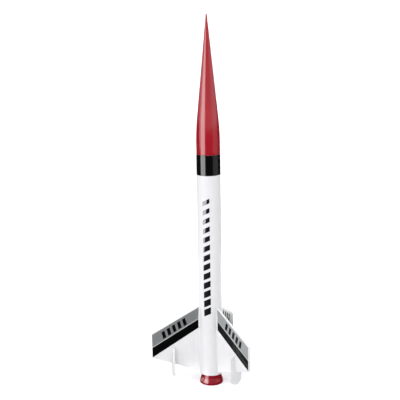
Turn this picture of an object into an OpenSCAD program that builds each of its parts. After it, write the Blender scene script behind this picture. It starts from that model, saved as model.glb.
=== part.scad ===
// Model rocket with three swept fins, winglets, a pull-off nose cone and a folded recovery train.
// The origin is the centre of the nozzle ring's bottom face, +Z runs along the rocket to the nose tip.
// Fin A points along -X, and fins B and C follow at 120 degree steps.

/* [Airframe] */
// Outer diameter of the body tube
tube_od = 24.8; // [24.6:0.1:25.4]
// Length of the body tube
tube_len = 240; // [225:1:280]
// Wall of the body tube
tube_wall = 0.35; // [0.3:0.01:0.4]
// Height of the black wrap at the tube's top
band_h = 21.4; // [10:0.1:30]

/* [Nose cone] */
// Length of the nose cone that shows above the tube
nose_len = 142.6; // [110:0.1:170]
// Radius of the rounded tip
nose_tip_r = 0.7; // [0.5:0.1:1.5]
// Height of the point where cone and straight skirt would meet, above the tube
nose_corner_h = 24; // [20:0.5:32]
// Length of the shoulder that slides into the tube
shoulder_len = 20; // [18:0.5:24]
// Wall of the nose cone
nose_wall = 1.2; // [1:0.1:1.4]

/* [Fins] */
// How far a fin reaches out from the tube
fin_span = 51.7; // [45:0.1:60]
// Thickness of the fins and winglets
fin_t = 2.4; // [2:0.1:3]
// Height of the leading edge at the root
fin_lead_root_z = 86.8; // [80:0.1:95]
// Height of the leading edge at the tip
fin_lead_tip_z = 58.2; // [52:0.1:64]
// Height of the trailing edge at the tip
fin_trail_tip_z = 31.6; // [28:0.1:36]
// Height of the trailing edge at the root
fin_trail_root_z = 13.8; // [12:0.1:18]
// Height of a fin decal at the root, measured down from the leading edge
decal_root_h = 23.5; // [18:0.1:30]
// Distance of a winglet's middle plane from the rocket's axis
winglet_r = 41; // [36:0.5:46]
// Width of a winglet across its fin
winglet_w = 14.5; // [12:0.5:18]
// Height of a winglet's top edge
winglet_top_z = 42; // [38:0.5:43]
// Height of a winglet's round bottom
winglet_bottom_z = 9.9; // [8:0.1:14]

/* [Nozzle ring] */
// Height of the part that shows below the tube
ring_len = 11.4; // [9:0.1:14]
// Diameter of its neck, just under the tube
ring_neck_d = 21.6; // [21.2:0.1:22.6]
// Largest diameter of its flare
ring_flare_d = 24.8; // [23.6:0.1:25]

/* [Motor mount] */
// Bore of the motor tube
motor_bore_d = 18; // [17.8:0.1:18.2]
// Length of the motor tube
motor_tube_len = 70; // [69:0.5:72]

/* [Launch lug] */
// Bore of the launch lug
lug_bore_d = 4; // [3.6:0.1:4.4]
// Length of the launch lug
lug_len = 60; // [40:1:70]
// Height of the lug's lower end
lug_z = 104; // [90:1:150]

/* [Hidden] */
$fn = 96;
eps = 0.01;
glue = 0.02;          // glue line between a piece and what it is stuck to
slip = 0.05;          // radial play of a piece that slides into a tube

tube_r = tube_od / 2;
tube_bore_r = tube_r - tube_wall;
tube_top_z = ring_len + tube_len;
plug_fit_r = tube_bore_r - slip;   // what slides into the body tube
decal_t = 0.1;
decal_r = tube_r + glue;

// nose cone outline
nose_corner_z = tube_top_z + nose_corner_h;
nose_tip_z = tube_top_z + nose_len;
nose_ball_z = nose_tip_z - nose_tip_r;
nose_angle = atan((tube_r - nose_tip_r) / (nose_ball_z - nose_corner_z));
nose_blend = 13;                   // the round blend starts this far below and ends this far above the corner
nose_blend_r = nose_blend / tan(nose_angle / 2);
nose_blend_steps = 10;
nose_tip_steps = 6;
nose_seat_gap = 0.05;
shoulder_z = tube_top_z - shoulder_len;
shoulder_bore_r = plug_fit_r - nose_wall;

// fins
FIN_ANGLES = [180, 300, 60];
fin_root_r = tube_r + glue;
fin_tip_r = tube_r + fin_span;
fin_corner = 0.8;
slot_play = 0.05;
lap_z = 33;                        // the fin's slot reaches up to here and the winglet's slot down to here
decal_edge = 0.4;                  // bare margin along the leading edge and the tip
decal_root_r = tube_r + 0.7;

// nozzle ring
ring_neck_r = ring_neck_d / 2;
ring_flare_r = ring_flare_d / 2;
ring_rim = 1;                      // radius of the rounded lower rim
ring_flare_z = 1.3;                // height of the flare's widest point
ring_flare_lag = 1.5;              // above 1, the flare opens mostly near the bottom
ring_shoulder_len = 8;
ring_steps = 10;

// motor mount
hook_angle = 120;                  // the hook and the launch lug sit midway between fins A and C
motor_r = motor_bore_d / 2;
motor_tube_r = motor_r + 0.35;
motor_tube_z = 1.6;
motor_tube_top = motor_tube_z + motor_tube_len;
thrust_ring_bore_r = 7.6;
thrust_ring_len = 5;
centering_bore_r = motor_tube_r + slip;
forward_ring_z = motor_tube_top - 3;
forward_ring_len = 8.4;
aft_ring_z = 26;
aft_ring_len = 6.4;
hook_w = 3.2;
hook_t = 0.6;
hook_in_r = motor_tube_r + 0.1;
hook_out_r = hook_in_r + hook_t;
hook_bottom_z = 0.7;
hook_top_z = motor_tube_top + 0.1 + hook_t;
hook_tab_r = 7.6;                  // the aft tab reaches in to here, under the motor's edge
hook_stop_r = 7.8;                 // the forward tab reaches in to here, over the motor's other end
hook_room_w = hook_w + 1.2;        // width of every notch that the hook moves in
hook_swing = 0.9;                  // how far the hook moves out under the retainer band
band_z = 44;
band_len = 6.4;
band_t = 0.25;

// launch lug
lug_r = lug_bore_d / 2;
lug_wall = 0.25;
lug_axis_r = tube_r + glue + lug_r + lug_wall;

// recovery train, folded between the motor mount and the nose cone
plug_t = 4;
plug_r = shoulder_bore_r - slip;
loop_r = 4.5;
loop_rod_r = 1;
chute_r = 8.6;
chute_z = 152;
chute_len = 63;
chute_round = 1.5;
line_bundle_r = 0.8;
mount_angle = 300;
mount_half = 34;                   // half of the angle that the cord mount covers
mount_t = 1.1;
mount_z = 196;
mount_len = 26;
cord_r = 0.8;
cord_sides = 8;
cord_path_r = 10.6;
cord_low_z = 172;
cord_high_z = 214;
cord_pitch = 36;                   // degrees from one run of the folded cord to the next
cord_first = 345;
cord_pairs = 4;                    // each pair is one run down and one run up
// one fold as [degrees along, height beyond the run's end]
CORD_FOLD = [[0, 0], [5, 2.4], [18, 3.4], [31, 2.4], [36, 0]];
// [angle, radius, height] from the cord mount's top edge to the first run
CORD_START = [
    [300, 11, 222], [300, 11, 224.5], [306, 10.9, 227.2], [315, 10.8, 228.8],
    [323, 10.7, 229.2], [331, 10.6, 228.8], [339, 10.6, 227.2], [344, 10.6, 224.5]
];
// [angle, radius, height] from the last run to the nose cone's tie loop
CORD_END = [[597, 10.3, 218], [597, 9.4, 222], [597, 8.1, 225.4], [597, 6.6, 227.8]];

// body graphic: a column of slanted bars that get thinner towards the nose
graphic_angle = 247;
graphic_z = 78;
graphic_w = 7.4;
graphic_slant = 3.6;
graphic_bars = 13;
graphic_pitch = 10;
graphic_bar_h = 7.4;
graphic_thin = 0.22;               // each bar is this much lower than the one below

function polar(a, r, z) = [r * cos(a), r * sin(a), z];
function unit(v) = v / norm(v);

// ---- nose cone ----

// outline of the cone from the skirt to the tip, moved in by the wall's thickness
function nose_blend_points(inset) = [
    for (i = [0:nose_blend_steps])
        let (a = nose_angle * i / nose_blend_steps)
        [tube_r - inset - nose_blend_r * (1 - cos(a)), nose_corner_z - nose_blend + nose_blend_r * sin(a)]
];

function nose_tip_points() = [
    for (i = [0:nose_tip_steps])
        let (a = nose_angle + (90 - nose_angle) * i / nose_tip_steps)
        [nose_tip_r * cos(a), nose_ball_z + nose_tip_r * sin(a)]
];

// height at which the cone's inner wall has closed to a point
function nose_inner_tip_z() = nose_ball_z - nose_wall / tan(nose_angle);

module nose_cone() {
    seat_z = tube_top_z + nose_seat_gap;
    color("firebrick")
    rotate_extrude()
    polygon(concat(
        [[shoulder_bore_r, shoulder_z], [plug_fit_r - 0.4, shoulder_z], [plug_fit_r, shoulder_z + 0.8],
            [plug_fit_r, seat_z], [tube_r, seat_z]],
        nose_blend_points(0),
        nose_tip_points(),
        [[0, nose_inner_tip_z()]],
        [for (p = [nose_blend_steps:-1:0]) nose_blend_points(nose_wall)[p]],
        [[tube_r - nose_wall, seat_z + 2], [shoulder_bore_r, seat_z]]
    ));
}

module nose_plug() {
    color("firebrick") {
        translate([0, 0, shoulder_z]) cylinder(r = plug_r, h = plug_t);
        rotate([0, 0, cord_first + cord_pitch * (2 * cord_pairs - 1)])
        translate([0, 0, shoulder_z + eps])
        rotate([90, 0, 0]) rotate([0, 0, 180])
        rotate_extrude(angle = 180)
        translate([loop_r, 0]) circle(r = loop_rod_r, $fn = 32);
    }
}

// ---- tube and its decals ----

module body_tube() {
    color("white")
    translate([0, 0, ring_len])
    difference() {
        cylinder(r = tube_r, h = tube_len);
        translate([0, 0, -1]) cylinder(r = tube_bore_r, h = tube_len + 2);
    }
}

module tube_skin(z, h) {
    translate([0, 0, z])
    difference() {
        cylinder(r = decal_r + decal_t, h = h);
        translate([0, 0, -1]) cylinder(r = decal_r, h = h + 2);
    }
}

module tube_band() {
    color([0.05, 0.05, 0.05]) tube_skin(tube_top_z - band_h, band_h);
}

module graphic_bar(i) {
    h = graphic_bar_h - graphic_thin * i;
    z = graphic_z + graphic_pitch * i;
    w = graphic_w / 2;
    polygon([[-w, z], [w, z + graphic_slant], [w, z + graphic_slant + h], [-w, z + h]]);
}

module body_graphic() {
    color([0.08, 0.08, 0.08])
    intersection() {
        tube_skin(graphic_z - 1, graphic_bars * graphic_pitch + 2);
        rotate([0, 0, graphic_angle - 270])
        rotate([90, 0, 0])
        linear_extrude(height = tube_r + 2)
        for (i = [0:graphic_bars - 1]) graphic_bar(i);
    }
}

// ---- fins ----

// stands a drawing in radius and height up in the plane of a fin, centred on it or at an offset
module in_fin_plane(angle, thickness, offset_y = 0) {
    rotate([0, 0, angle])
    translate([0, offset_y, 0])
    rotate([90, 0, 0])
    linear_extrude(height = thickness, center = true)
    children();
}

function lead_z(r) = fin_lead_root_z + (fin_lead_tip_z - fin_lead_root_z) * (r - tube_r) / fin_span;
function stripe_z(r) = let (root_z = fin_lead_root_z - decal_root_h)
    root_z + (fin_trail_tip_z - root_z) * (r - tube_r) / fin_span;

module fin_outline() {
    polygon([
        [fin_root_r, fin_trail_root_z],
        [fin_tip_r - fin_corner, fin_trail_tip_z - fin_corner / 2],
        [fin_tip_r, fin_trail_tip_z + fin_corner / 2],
        [fin_tip_r, fin_lead_tip_z - fin_corner / 2],
        [fin_tip_r - fin_corner, lead_z(fin_tip_r - fin_corner)],
        [fin_root_r, fin_lead_root_z]
    ]);
}

module fin(angle) {
    slot_w = fin_t + 2 * slot_play;
    color("white")
    in_fin_plane(angle, fin_t)
    difference() {
        fin_outline();
        translate([winglet_r - slot_w / 2, 0]) square([slot_w, lap_z]);
    }
}

module winglet(angle) {
    slot_w = fin_t + 2 * slot_play;
    half = winglet_w / 2;
    corner = 3;
    color("white")
    rotate([0, 0, angle])
    translate([winglet_r - fin_t / 2, 0, 0])
    rotate([90, 0, 90])
    linear_extrude(height = fin_t)
    difference() {
        union() {
            translate([0, winglet_bottom_z + half]) circle(r = half);
            polygon([
                [-half, winglet_bottom_z + half], [half, winglet_bottom_z + half],
                [half, winglet_top_z - corner], [half - corner, winglet_top_z],
                [corner - half, winglet_top_z], [-half, winglet_top_z - corner]
            ]);
        }
        translate([-slot_w / 2, lap_z]) square([slot_w, winglet_top_z]);
    }
}

// side is 1 for the face on the anticlockwise side of the fin, seen from above, and -1 for the other
module fin_decal(angle, side) {
    outer_r = fin_tip_r - decal_edge;
    color([0.55, 0.57, 0.57])
    in_fin_plane(angle, decal_t, side * (fin_t / 2 + glue + decal_t / 2))
    polygon([
        [decal_root_r, stripe_z(decal_root_r)],
        [outer_r, stripe_z(outer_r) + decal_edge],
        [outer_r, lead_z(outer_r) - decal_edge],
        [decal_root_r, lead_z(decal_root_r) - decal_edge]
    ]);
}

// ---- nozzle ring and motor mount ----

module hook_notch(in_r, out_r, z, h) {
    rotate([0, 0, hook_angle])
    translate([in_r, -hook_room_w / 2, z]) cube([out_r - in_r, hook_room_w, h]);
}

function ring_flare_points() = [
    for (i = [0:ring_steps])
        let (s = i / ring_steps, opened = (1 - cos(180 * pow(s, ring_flare_lag))) / 2)
        [ring_neck_r + (ring_flare_r - ring_neck_r) * opened, ring_len + (ring_flare_z - ring_len) * s]
];

function ring_rim_points() = [
    for (i = [1:ring_steps])
        let (a = 90 * i / ring_steps)
        [ring_flare_r - ring_rim * (1 - cos(a)), ring_rim * (1 - sin(a))]
];

module nozzle_ring() {
    color("firebrick")
    difference() {
        rotate_extrude()
        polygon(concat(
            [[centering_bore_r, ring_len + ring_shoulder_len], [plug_fit_r, ring_len + ring_shoulder_len],
                [plug_fit_r, ring_len + eps], [ring_neck_r, ring_len + eps]],
            ring_flare_points(),
            ring_rim_points(),
            [[centering_bore_r, 0]]
        ));
        hook_notch(motor_r, tube_r + 1, -1, ring_len + ring_shoulder_len + 2);
    }
}

module pipe(out_r, in_r, z, h) {
    translate([0, 0, z])
    difference() {
        cylinder(r = out_r, h = h);
        translate([0, 0, -1]) cylinder(r = in_r, h = h + 2);
    }
}

module motor_tube() {
    color("burlywood") pipe(motor_tube_r, motor_r, motor_tube_z, motor_tube_len);
}

module thrust_ring() {
    color("peru")
    difference() {
        pipe(motor_tube_r, thrust_ring_bore_r, motor_tube_top, thrust_ring_len);
        hook_notch(thrust_ring_bore_r - 1, tube_r, motor_tube_top - 1, 2.1);
    }
}

module forward_centering_ring() {
    color("tan")
    difference() {
        pipe(plug_fit_r, centering_bore_r, forward_ring_z, forward_ring_len);
        hook_notch(motor_r, hook_out_r + 0.5, forward_ring_z - 1, forward_ring_len + 2);
    }
}

module aft_centering_ring() {
    color("tan")
    difference() {
        pipe(plug_fit_r, centering_bore_r, aft_ring_z, aft_ring_len);
        hook_notch(motor_r, tube_r, aft_ring_z - 1, aft_ring_len + 2);
    }
}

module hook_retainer_band() {
    bulge_r = hook_out_r + hook_swing;
    color("gainsboro")
    difference() {
        union() {
            pipe(centering_bore_r + band_t, centering_bore_r, band_z, band_len);
            rotate([0, 0, hook_angle])
            translate([motor_r, -hook_room_w / 2 - band_t, band_z])
            cube([bulge_r + band_t - motor_r, hook_room_w + 2 * band_t, band_len]);
        }
        translate([0, 0, band_z - 1]) cylinder(r = centering_bore_r, h = band_len + 2);
        hook_notch(motor_r - 1, bulge_r, band_z - 1, band_len + 2);
    }
}

module motor_hook() {
    color("silver")
    in_fin_plane(hook_angle, hook_w)
    polygon([
        [hook_tab_r, hook_bottom_z], [hook_out_r, hook_bottom_z],
        [hook_out_r, hook_top_z], [hook_stop_r, hook_top_z],
        [hook_stop_r, hook_top_z - hook_t], [hook_in_r, hook_top_z - hook_t],
        [hook_in_r, hook_bottom_z + hook_t], [hook_tab_r, hook_bottom_z + hook_t]
    ]);
}

module launch_lug() {
    color("white")
    rotate([0, 0, hook_angle])
    translate([lug_axis_r, 0, 0])
    pipe(lug_r + lug_wall, lug_r, lug_z, lug_len);
}

// ---- recovery train ----

module shock_cord_mount() {
    color("lightgray")
    rotate([0, 0, mount_angle - mount_half])
    rotate_extrude(angle = 2 * mount_half)
    translate([tube_bore_r - slip - mount_t, mount_z]) square([mount_t, mount_len]);
}

module parachute() {
    color("orangered")
    translate([0, 0, chute_z])
    rotate_extrude()
    polygon([
        [0, 0], [chute_r - chute_round, 0], [chute_r, chute_round],
        [chute_r, chute_len - chute_round], [chute_r - chute_round, chute_len], [0, chute_len]
    ]);
}

// a round cord swept along points, each ring turned with the path so that it doesn't twist
function tangents(p) = [
    for (i = [0:len(p) - 1]) unit(p[min(i + 1, len(p) - 1)] - p[max(i - 1, 0)])
];

function normals(t, n, i) = i == len(t) ? [] :
    let (next = unit(n - (n * t[i]) * t[i]))
    concat([next], normals(t, next, i + 1));

module swept_cord(p, r, sides) {
    t = tangents(p);
    first = abs(t[0][0]) < 0.9 ? [1, 0, 0] : [0, 1, 0];
    n = normals(t, first, 0);
    rings = len(p);
    points = [
        for (i = [0:rings - 1], j = [0:sides - 1])
            p[i] + r * (cos(360 * j / sides) * n[i] + sin(360 * j / sides) * cross(t[i], n[i]))
    ];
    walls = [
        for (i = [0:rings - 2], j = [0:sides - 1])
            let (k = (j + 1) % sides)
            [i * sides + j, (i + 1) * sides + j, (i + 1) * sides + k, i * sides + k]
    ];
    ends = [[for (j = [0:sides - 1]) j], [for (j = [sides - 1:-1:0]) (rings - 1) * sides + j]];
    polyhedron(points = points, faces = concat(walls, ends));
}

function cord_fold(a, z, up) = [
    for (f = CORD_FOLD) polar(a + f[0], cord_path_r, z + (up ? f[1] : -f[1]))
];

function cord_runs() = [
    for (i = [0:cord_pairs - 1])
        let (a = cord_first + 2 * i * cord_pitch)
        each concat(
            cord_fold(a, cord_low_z, false),
            i < cord_pairs - 1 ? cord_fold(a + cord_pitch, cord_high_z, true) : []
        )
];

module shock_cord() {
    top = polar(cord_first, cord_path_r, cord_high_z);
    last = polar(cord_first + (2 * cord_pairs - 1) * cord_pitch, cord_path_r, cord_high_z);
    route = concat(
        [for (p = CORD_START) polar(p[0], p[1], p[2])], [top],
        cord_runs(), [last],
        [for (p = CORD_END) polar(p[0], p[1], p[2])]
    );
    color("ivory") swept_cord(route, cord_r, cord_sides);
}

module shroud_lines() {
    bottom = chute_z + chute_len + glue;
    top = shoulder_z - loop_r - loop_rod_r - glue;
    color("whitesmoke")
    swept_cord([
        [0, 0, bottom], [0, 0, bottom + 1], [0.4, 0.3, bottom + 3],
        [0.3, -0.2, bottom + 6], [0, 0, top - 1], [0, 0, top]
    ], line_bundle_r, cord_sides);
}

body_tube();
tube_band();
body_graphic();
fin(FIN_ANGLES[0]);  // fin_a
fin(FIN_ANGLES[1]);  // fin_b
fin(FIN_ANGLES[2]);  // fin_c
winglet(FIN_ANGLES[0]);  // winglet_a
winglet(FIN_ANGLES[1]);  // winglet_b
winglet(FIN_ANGLES[2]);  // winglet_c
fin_decal(FIN_ANGLES[0], 1);  // fin_decal_a1
fin_decal(FIN_ANGLES[0], -1);  // fin_decal_a2
fin_decal(FIN_ANGLES[1], 1);  // fin_decal_b1
fin_decal(FIN_ANGLES[1], -1);  // fin_decal_b2
fin_decal(FIN_ANGLES[2], 1);  // fin_decal_c1
fin_decal(FIN_ANGLES[2], -1);  // fin_decal_c2
nozzle_ring();
motor_tube();
thrust_ring();
forward_centering_ring();
aft_centering_ring();
hook_retainer_band();
launch_lug();
shock_cord_mount();
shock_cord();
motor_hook();
nose_cone();
nose_plug();
parachute();
shroud_lines();
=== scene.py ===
import math
import random

import bmesh
import bpy
from mathutils import Matrix, Vector, noise


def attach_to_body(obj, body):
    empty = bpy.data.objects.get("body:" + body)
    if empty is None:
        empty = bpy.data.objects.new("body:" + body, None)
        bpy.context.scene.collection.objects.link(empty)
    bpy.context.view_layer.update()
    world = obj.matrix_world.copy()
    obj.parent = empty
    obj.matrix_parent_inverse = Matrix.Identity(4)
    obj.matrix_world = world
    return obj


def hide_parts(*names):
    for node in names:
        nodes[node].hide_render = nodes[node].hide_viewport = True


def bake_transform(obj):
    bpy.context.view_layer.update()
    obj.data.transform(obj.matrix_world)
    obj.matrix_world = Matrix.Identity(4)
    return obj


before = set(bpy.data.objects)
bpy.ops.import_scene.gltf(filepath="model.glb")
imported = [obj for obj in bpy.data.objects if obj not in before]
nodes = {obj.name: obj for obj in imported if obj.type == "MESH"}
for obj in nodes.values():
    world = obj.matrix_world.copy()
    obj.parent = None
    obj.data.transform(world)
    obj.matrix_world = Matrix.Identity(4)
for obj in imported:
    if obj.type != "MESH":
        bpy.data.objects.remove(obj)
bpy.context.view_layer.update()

# Sizes are in millimetres, which make() turns into metres.
MM = 0.001

# Places round the rocket's axis, in degrees.
FINS = {"a": 180.0, "b": 300.0, "c": 60.0}
HOOK_ANGLE = 120.0
GRAPHIC_ANGLE = 247.0
LOOP_ANGLE = 237.0

# The body tube, and the pitch of its paper's spiral. Glue meets it just under its surface, and prints and
# films lie between two heights above it.
TUBE_R, TUBE_BORE, GLUE_R = 12.4, 12.05, 12.38
TUBE_Z, TUBE_TOP, TUBE_WIND = 11.4, 251.4, 76
STUCK_LOW, STUCK_HIGH = 0.02, 0.12

# The nose cone's shoulder, which slides in the tube.
SHOULDER_BORE, SHOULDER_Z = 10.8, 231.4

# The fins, with the heights of both edges at root and tip, and the slot where each winglet crosses its fin.
FIN_HALF, FIN_SPAN, FIN_TIP_R = 1.2, 51.7, 64.1
LEAD_ROOT, LEAD_TIP = 86.8, 58.2
TRAIL_ROOT, TRAIL_TIP = 13.8, 31.6
WINGLET_IN, WINGLET_OUT, SLOT_PLAY, SLOT_TOP = 39.8, 42.2, 0.05, 33.0

# The shock cord: its runs up and down the tube's wall, and the bend between two of them.
CORD_R, CORD_PATH_R, CORD_LOW, CORD_HIGH = 0.78, 10.6, 172.0, 214.0
CORD_FIRST, CORD_PITCH = 345.0, 36.0
RUN = (179, 186, 193, 200, 207)
FOLD = ((0, 0), (5, 2.4), (18, 3.4), (31, 2.4), (36, 0))


# ---------------------------------------------------------------- materials

class Paint:
    """A Principled material. Its colour, roughness and bump are nodes in the object's own coordinates."""

    def __init__(self, name, rough, **sockets):
        self.mat = bpy.data.materials.new(name)
        self.mat.use_nodes = True
        self.nt = self.mat.node_tree
        self.bsdf = self.nt.nodes["Principled BSDF"]
        self.bsdf.inputs["Roughness"].default_value = rough
        for key, value in sockets.items():
            self.bsdf.inputs[key.replace("_", " ")].default_value = value
        self.coord = self.nt.nodes.new("ShaderNodeTexCoord").outputs["Object"]
        self.normal = None

    def node(self, kind, **settings):
        n = self.nt.nodes.new("ShaderNode" + kind)
        for key, value in settings.items():
            setattr(n, key, value)
        return n

    def link(self, a, b):
        self.nt.links.new(a, b)

    def put(self, socket, value):
        if isinstance(value, bpy.types.NodeSocket):
            self.link(value, socket)
        else:
            socket.default_value = value

    def math(self, op, a, b=0.0):
        n = self.node("Math", operation=op)
        self.put(n.inputs[0], a)
        self.put(n.inputs[1], b)
        return n.outputs[0]

    def stretched(self, scale, turn=(0, 0, 0)):
        n = self.node("Mapping")
        self.link(self.coord, n.inputs["Vector"])
        n.inputs["Scale"].default_value = scale
        n.inputs["Rotation"].default_value = tuple(math.radians(t) for t in turn)
        return n.outputs[0]

    def noise(self, scale, detail=3.0, roughness=0.5, vector=None, distortion=0.0):
        n = self.node("TexNoise")
        self.link(vector or self.coord, n.inputs["Vector"])
        n.inputs["Scale"].default_value = scale
        n.inputs["Detail"].default_value = detail
        n.inputs["Roughness"].default_value = roughness
        n.inputs["Distortion"].default_value = distortion
        return n.outputs["Fac"]

    def steps(self, value, low, high, out_low=0.0, out_high=1.0):
        """A straight rise from out_low to out_high while the value goes from low to high."""
        n = self.node("MapRange", clamp=True)
        for key, v in zip(("From Min", "From Max", "To Min", "To Max"), (low, high, out_low, out_high)):
            n.inputs[key].default_value = v
        self.link(value, n.inputs["Value"])
        return n.outputs[0]

    def mix(self, factor, a, b):
        n = self.node("Mix", data_type="RGBA", clamp_factor=True)
        self.put(n.inputs[0], factor)
        for i, v in ((6, a), (7, b)):
            if isinstance(v, tuple):
                v = (*v, 1.0)
            self.put(n.inputs[i], v)
        return n.outputs[2]

    def xyz(self):
        n = self.node("SeparateXYZ")
        self.link(self.coord, n.inputs[0])
        return n.outputs

    def colour(self, socket):
        self.link(socket, self.bsdf.inputs["Base Color"])

    def tones(self, value, low, high, a, b):
        """Colours the material a where the value is low and b where it is high."""
        self.colour(self.mix(self.steps(value, low, high), a, b))

    def roughness(self, socket):
        self.link(socket, self.bsdf.inputs["Roughness"])

    def bump(self, height, depth_mm, strength=1.0):
        n = self.node("Bump")
        n.inputs["Strength"].default_value = strength
        n.inputs["Distance"].default_value = depth_mm * MM
        self.link(height, n.inputs["Height"])
        if self.normal:
            self.link(self.normal, n.inputs["Normal"])
        self.normal = n.outputs[0]
        self.link(self.normal, self.bsdf.inputs["Normal"])

    def spiral(self, pitch_mm, width, turn=0.0):
        """1 away from a spiral line round the Z axis and 0 on it."""
        x, y, z = self.xyz()
        angle = self.math("DIVIDE", self.math("ARCTAN2", y, x), 2 * math.pi)
        rise = self.math("DIVIDE", z, pitch_mm * MM)
        wave = self.math("PINGPONG", self.math("ADD", self.math("SUBTRACT", rise, angle), turn), 0.5)
        return self.steps(wave, 0.0, width)


def red_plastic(name, light, dark, specular=0.5):
    p = Paint(name, 0.12, Specular_IOR_Level=specular)
    cloud = p.noise(38, 3)
    p.tones(cloud, 0.35, 0.7, light, dark)
    p.roughness(p.steps(p.noise(900, 4, 0.6), 0.3, 0.75, 0.10, 0.17))
    p.bump(p.noise(420, 2), 0.012)
    return p.mat


def white_paper_tube():
    p = Paint("white_tube_paint", 0.42, Specular_IOR_Level=0.15)
    fibre = p.noise(700, 4, 0.6, p.stretched((1, 1, 0.35)))
    p.tones(fibre, 0.35, 0.7, (0.638, 0.636, 0.645), (0.609, 0.607, 0.619))
    p.roughness(p.steps(fibre, 0.3, 0.7, 0.38, 0.5))
    p.bump(p.spiral(TUBE_WIND, 0.012), 0.03, 0.55)
    p.bump(fibre, 0.012, 0.6)
    return p.mat


def bare_paper():
    p = Paint("bare_tube_paper", 0.85, Specular_IOR_Level=0.25)
    fibre = p.noise(1400, 5, 0.65)
    p.tones(fibre, 0.3, 0.7, (0.70, 0.68, 0.62), (0.55, 0.52, 0.46))
    p.bump(p.spiral(TUBE_WIND, 0.012, 0.4), 0.05, 0.6)
    p.bump(fibre, 0.03)
    return p.mat


def painted_balsa():
    p = Paint("painted_balsa", 0.42, Specular_IOR_Level=0.35)
    grain = p.noise(420, 4, 0.6, p.stretched((1, 1, 0.14), (0, 28, 0)))
    fine = p.noise(2600, 2)
    p.tones(grain, 0.35, 0.7, (0.648, 0.646, 0.653), (0.614, 0.612, 0.622))
    p.roughness(p.steps(fine, 0.3, 0.7, 0.38, 0.5))
    p.bump(grain, 0.035, 0.5)
    p.bump(fine, 0.006)
    return p.mat


def glue():
    p = Paint("white_glue_fillet", 0.25, Specular_IOR_Level=0.45)
    lumps = p.noise(240, 2)
    p.tones(lumps, 0.3, 0.7, (0.643, 0.641, 0.648), (0.609, 0.609, 0.614))
    p.bump(lumps, 0.08, 0.5)
    return p.mat


def black_wrap():
    p = Paint("black_wrap_gloss", 0.12, Specular_IOR_Level=0.5)
    dust = p.noise(1500, 4, 0.7)
    p.tones(dust, 0.55, 0.8, (0.0015, 0.0015, 0.0016), (0.004, 0.004, 0.0043))
    p.roughness(p.steps(p.noise(260, 4, 0.6), 0.35, 0.7, 0.09, 0.16))
    p.bump(p.noise(300, 2), 0.008)
    return p.mat


def graphic_print(centre_angle):
    """Black bars whose left halves turn silver towards the nose."""
    p = Paint("graphic_print", 0.5, Specular_IOR_Level=0.1)
    a = math.radians(centre_angle)
    x, y, z = p.xyz()
    fade_low, fade_high, reach_low, reach_high = 120 * MM, 205 * MM, -4.4 * MM, 1.0 * MM
    along = p.math("ADD", p.math("MULTIPLY", x, -math.sin(a)), p.math("MULTIPLY", y, math.cos(a)))
    reach = p.steps(z, fade_low, fade_high, reach_low, reach_high)
    silver = p.steps(p.math("SUBTRACT", reach, along), -0.3 * MM, 0.5 * MM)
    dots = p.steps(p.noise(5200, 1), 0.44, 0.56)
    light = p.mix(dots, (0.24, 0.24, 0.25), (0.42, 0.42, 0.43))
    p.colour(p.mix(silver, (0.002, 0.002, 0.0022), light))
    p.roughness(p.steps(p.noise(900, 3), 0.3, 0.7, 0.42, 0.56))
    return p.mat


def silver_foil():
    p = Paint("silver_decal_foil", 0.34, Metallic=0.5, Specular_IOR_Level=0.5)
    flake = p.noise(5200, 2, 0.6)
    cloud = p.noise(60, 3)
    a = p.mix(p.steps(flake, 0.38, 0.62), (0.258, 0.267, 0.268), (0.345, 0.354, 0.357))
    p.colour(p.mix(p.steps(cloud, 0.35, 0.7, 0.0, 0.35), a, (0.228, 0.237, 0.238)))
    p.roughness(p.steps(flake, 0.3, 0.7, 0.28, 0.4))
    p.bump(flake, 0.004)
    return p.mat


def decal_black():
    p = Paint("decal_black_print", 0.25, Specular_IOR_Level=0.08)
    dust = p.noise(1800, 3, 0.6)
    p.tones(dust, 0.5, 0.8, (0.0015, 0.0015, 0.0015), (0.005, 0.005, 0.0055))
    p.roughness(p.steps(p.noise(300, 3), 0.3, 0.7, 0.17, 0.28))
    return p.mat


def decal_line():
    p = Paint("decal_light_line", 0.3, Specular_IOR_Level=0.4)
    p.tones(p.noise(2200, 2), 0.4, 0.6, (0.55, 0.57, 0.56), (0.46, 0.48, 0.47))
    return p.mat


def kraft():
    p = Paint("kraft_motor_tube", 0.7, Specular_IOR_Level=0.3)
    fibre = p.noise(900, 5, 0.65, p.stretched((1, 1, 0.4)))
    seam = p.spiral(58, 0.02)
    base = p.mix(p.steps(fibre, 0.3, 0.7), (0.40, 0.25, 0.125), (0.29, 0.17, 0.08))
    p.colour(p.mix(seam, (0.17, 0.10, 0.05), base))
    p.bump(seam, 0.08, 0.7)
    p.bump(fibre, 0.03)
    return p.mat


def ring_card():
    p = Paint("laminated_ring_card", 0.8, Specular_IOR_Level=0.25)
    x, y, _ = p.xyz()
    radius = p.math("SQRT", p.math("ADD", p.math("MULTIPLY", x, x), p.math("MULTIPLY", y, y)))
    ply = p.steps(p.math("PINGPONG", p.math("DIVIDE", radius, 0.36 * MM), 0.5), 0.0, 0.12)
    fibre = p.noise(1100, 4, 0.6)
    base = p.mix(p.steps(fibre, 0.3, 0.7), (0.50, 0.40, 0.27), (0.37, 0.28, 0.18))
    p.colour(p.mix(ply, (0.22, 0.155, 0.09), base))
    p.bump(ply, 0.05, 0.6)
    p.bump(fibre, 0.03)
    return p.mat


def clear_film():
    p = Paint("clear_film_band", 0.16, Transmission_Weight=0.85, IOR=1.45)
    p.tones(p.noise(220, 3), 0.3, 0.7, (0.86, 0.87, 0.86), (0.74, 0.75, 0.73))
    p.bump(p.noise(160, 2), 0.05)
    return p.mat


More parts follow.
